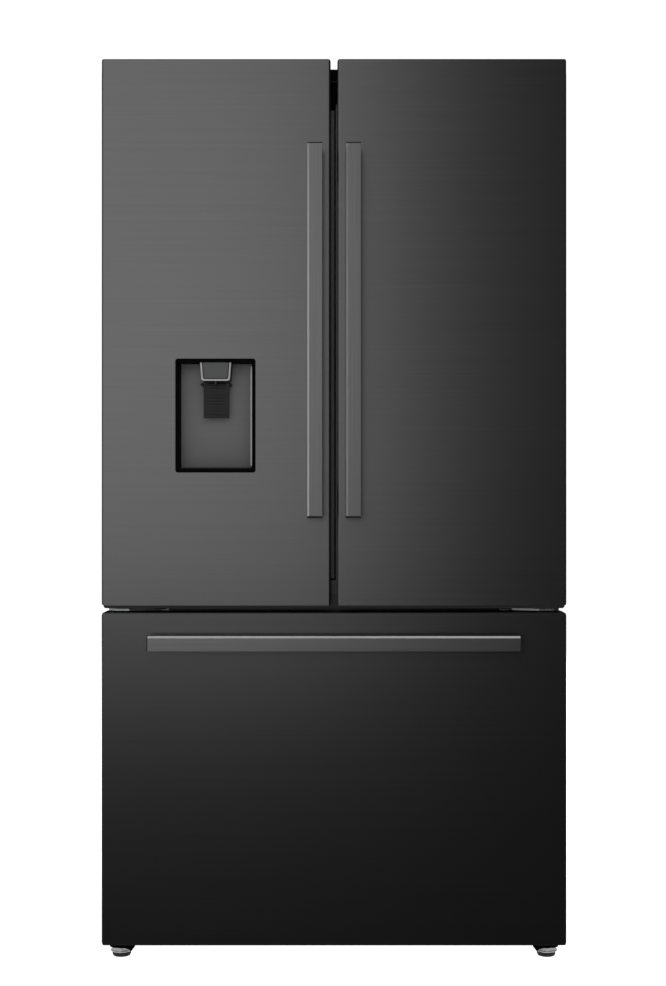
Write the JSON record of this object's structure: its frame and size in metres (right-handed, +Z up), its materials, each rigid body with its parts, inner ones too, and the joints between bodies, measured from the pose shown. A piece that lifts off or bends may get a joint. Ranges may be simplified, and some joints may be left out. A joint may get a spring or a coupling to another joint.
{
  "type": "french door refrigerator",
  "caption": "Upright refrigerator with two hinged doors over a pull-out freezer drawer, bar handles and a water dispenser recessed in the left door.",
  "frame": {"origin": "middle of the footprint of the whole object, on the floor", "axes": "+Z up, the doors face -Y, +X to the viewer's right"},
  "size_m": [0.91, 0.74, 1.78],
  "materials": {
    "door_steel": "dark brushed",
    "handle_steel": "satin brushed",
    "cabinet_paint": "satin",
    "zinc_sheet": "galvanised",
    "hinge_steel": "plated",
    "black_paint": "satin",
    "black_plastic": "fine matt",
    "dark_plastic": "fine matt",
    "white_plastic": "smooth",
    "grey_plastic": "fine matt",
    "clear_plastic": "clear moulded",
    "shelf_glass": "polished",
    "foam": "rigid foam",
    "seal_rubber": "soft matt",
    "tyre_rubber": "hard matt",
    "aluminium_fins": "bright"
  },
  "bodies": {
    "cabinet": {"cabinet_shell": "cabinet_paint", "cabinet_back": "zinc_sheet", "cabinet_foam": "foam", "fridge_liner": "white_plastic", "freezer_liner": "white_plastic", "center_rail": "black_paint", "top_cover": "black_plastic", "top_hinges": "hinge_steel", "middle_hinges": "hinge_steel", "base_frame": "zinc_sheet", "support_brackets": "black_paint", "compressor": "black_paint", "condenser": "black_paint", "fan_shroud": "grey_plastic", "machine_cover": "zinc_sheet", "drain_pan": "grey_plastic", "electrics": "dark_plastic", "evaporator": "aluminium_fins", "air_ducts": "white_plastic", "shelf_glass": "shelf_glass", "shelf_trims": "white_plastic", "freezer_slides": "zinc_sheet"},
    "foot_left_body": {"foot_left": "hinge_steel"},
    "foot_right_body": {"foot_right": "hinge_steel"},
    "roller_left_body": {"roller_left": "tyre_rubber"},
    "roller_right_body": {"roller_right": "tyre_rubber"},
    "condenser_fan_body": {"condenser_fan": "black_plastic"},
    "evaporator_fan_body": {"evaporator_fan": "grey_plastic"},
    "crisper_left_body": {"crisper_left": "clear_plastic"},
    "crisper_right_body": {"crisper_right": "clear_plastic"},
    "right_door": {"right_door_skin": "door_steel", "right_door_caps": "dark_plastic", "right_door_foam": "foam", "right_door_liner": "white_plastic", "right_door_gasket": "seal_rubber", "right_door_bins": "clear_plastic", "right_handle": "handle_steel"},
    "left_door": {"left_door_skin": "door_steel", "left_door_caps": "dark_plastic", "left_door_foam": "foam", "left_door_liner": "white_plastic", "left_door_gasket": "seal_rubber", "left_door_bins": "clear_plastic", "left_handle": "handle_steel", "dispenser_housing": "black_plastic", "dispenser_plate": "handle_steel", "dispenser_spout": "dark_plastic", "water_tank": "clear_plastic"},
    "paddle": {"dispenser_paddle": "black_plastic"},
    "flap": {"mullion_flap": "dark_plastic"},
    "drawer": {"drawer_skin": "door_steel", "drawer_caps": "dark_plastic", "drawer_foam": "foam", "drawer_liner": "white_plastic", "drawer_gasket": "seal_rubber", "drawer_handle": "handle_steel", "drawer_runners": "zinc_sheet", "freezer_basket": "white_plastic"},
    "middle_slide_body": {"middle_slides": "zinc_sheet"},
    "tray": {"freezer_tray": "white_plastic"}
  },
  "joints": [
    {"name": "left_door_hinge", "type": "hinge", "parent": "cabinet", "child": "left_door", "pos_m": [-0.433, -0.29, 1.2], "axis": [0, 0, -1], "range_deg": [0, 120]},
    {"name": "right_door_hinge", "type": "hinge", "parent": "cabinet", "child": "right_door", "pos_m": [0.433, -0.29, 1.2], "axis": [0, 0, 1], "range_deg": [0, 120]},
    {"name": "mullion_flap_hinge", "type": "hinge", "parent": "left_door", "child": "flap", "pos_m": [-0.017, -0.25, 1.2], "axis": [0, 0, 1], "range_deg": [0, 90]},
    {"name": "paddle_hinge", "type": "hinge", "parent": "left_door", "child": "paddle", "pos_m": [-0.232, -0.293, 1.145], "axis": [1, 0, 0], "range_deg": [0, 12], "stiffness_Nm_per_rad": 0.4, "springref_deg": -5.73},
    {"name": "drawer_slide", "type": "slide", "parent": "cabinet", "child": "drawer", "axis": [0, -1, 0], "range_m": [0, 0.34]},
    {"name": "middle_slide", "type": "slide", "parent": "cabinet", "child": "middle_slide_body", "axis": [0, -1, 0], "range_m": [0, 0.17]},
    {"name": "tray_slide", "type": "slide", "parent": "drawer", "child": "tray", "axis": [0, -1, 0], "range_m": [0, 0.15]},
    {"name": "crisper_left_slide", "type": "slide", "parent": "cabinet", "child": "crisper_left_body", "axis": [0, -1, 0], "range_m": [0, 0.1]},
    {"name": "crisper_right_slide", "type": "slide", "parent": "cabinet", "child": "crisper_right_body", "axis": [0, -1, 0], "range_m": [0, 0.1]},
    {"name": "condenser_fan_spin", "type": "hinge", "parent": "cabinet", "child": "condenser_fan_body", "pos_m": [0.04, 0.255, 0.125], "axis": [1, 0, 0], "continuous": true},
    {"name": "evaporator_fan_spin", "type": "hinge", "parent": "cabinet", "child": "evaporator_fan_body", "pos_m": [0, 0.221, 0.58], "axis": [0, 1, 0], "continuous": true},
    {"name": "roller_left_spin", "type": "hinge", "parent": "cabinet", "child": "roller_left_body", "pos_m": [-0.428, 0.33, 0.02], "axis": [1, 0, 0], "continuous": true},
    {"name": "roller_right_spin", "type": "hinge", "parent": "cabinet", "child": "roller_right_body", "pos_m": [0.428, 0.33, 0.02], "axis": [1, 0, 0], "continuous": true},
    {"name": "foot_left_screw", "type": "slide", "parent": "cabinet", "child": "foot_left_body", "axis": [0, 0, -1], "range_m": [0, 0.012]},
    {"name": "foot_right_screw", "type": "slide", "parent": "cabinet", "child": "foot_right_body", "axis": [0, 0, -1], "range_m": [0, 0.012]}
  ],
  "couplings": [
    {"joint": "mullion_flap_hinge", "follows": "left_door_hinge", "ratio": 0.75},
    {"joint": "middle_slide", "follows": "drawer_slide", "ratio": 0.5}
  ]
}
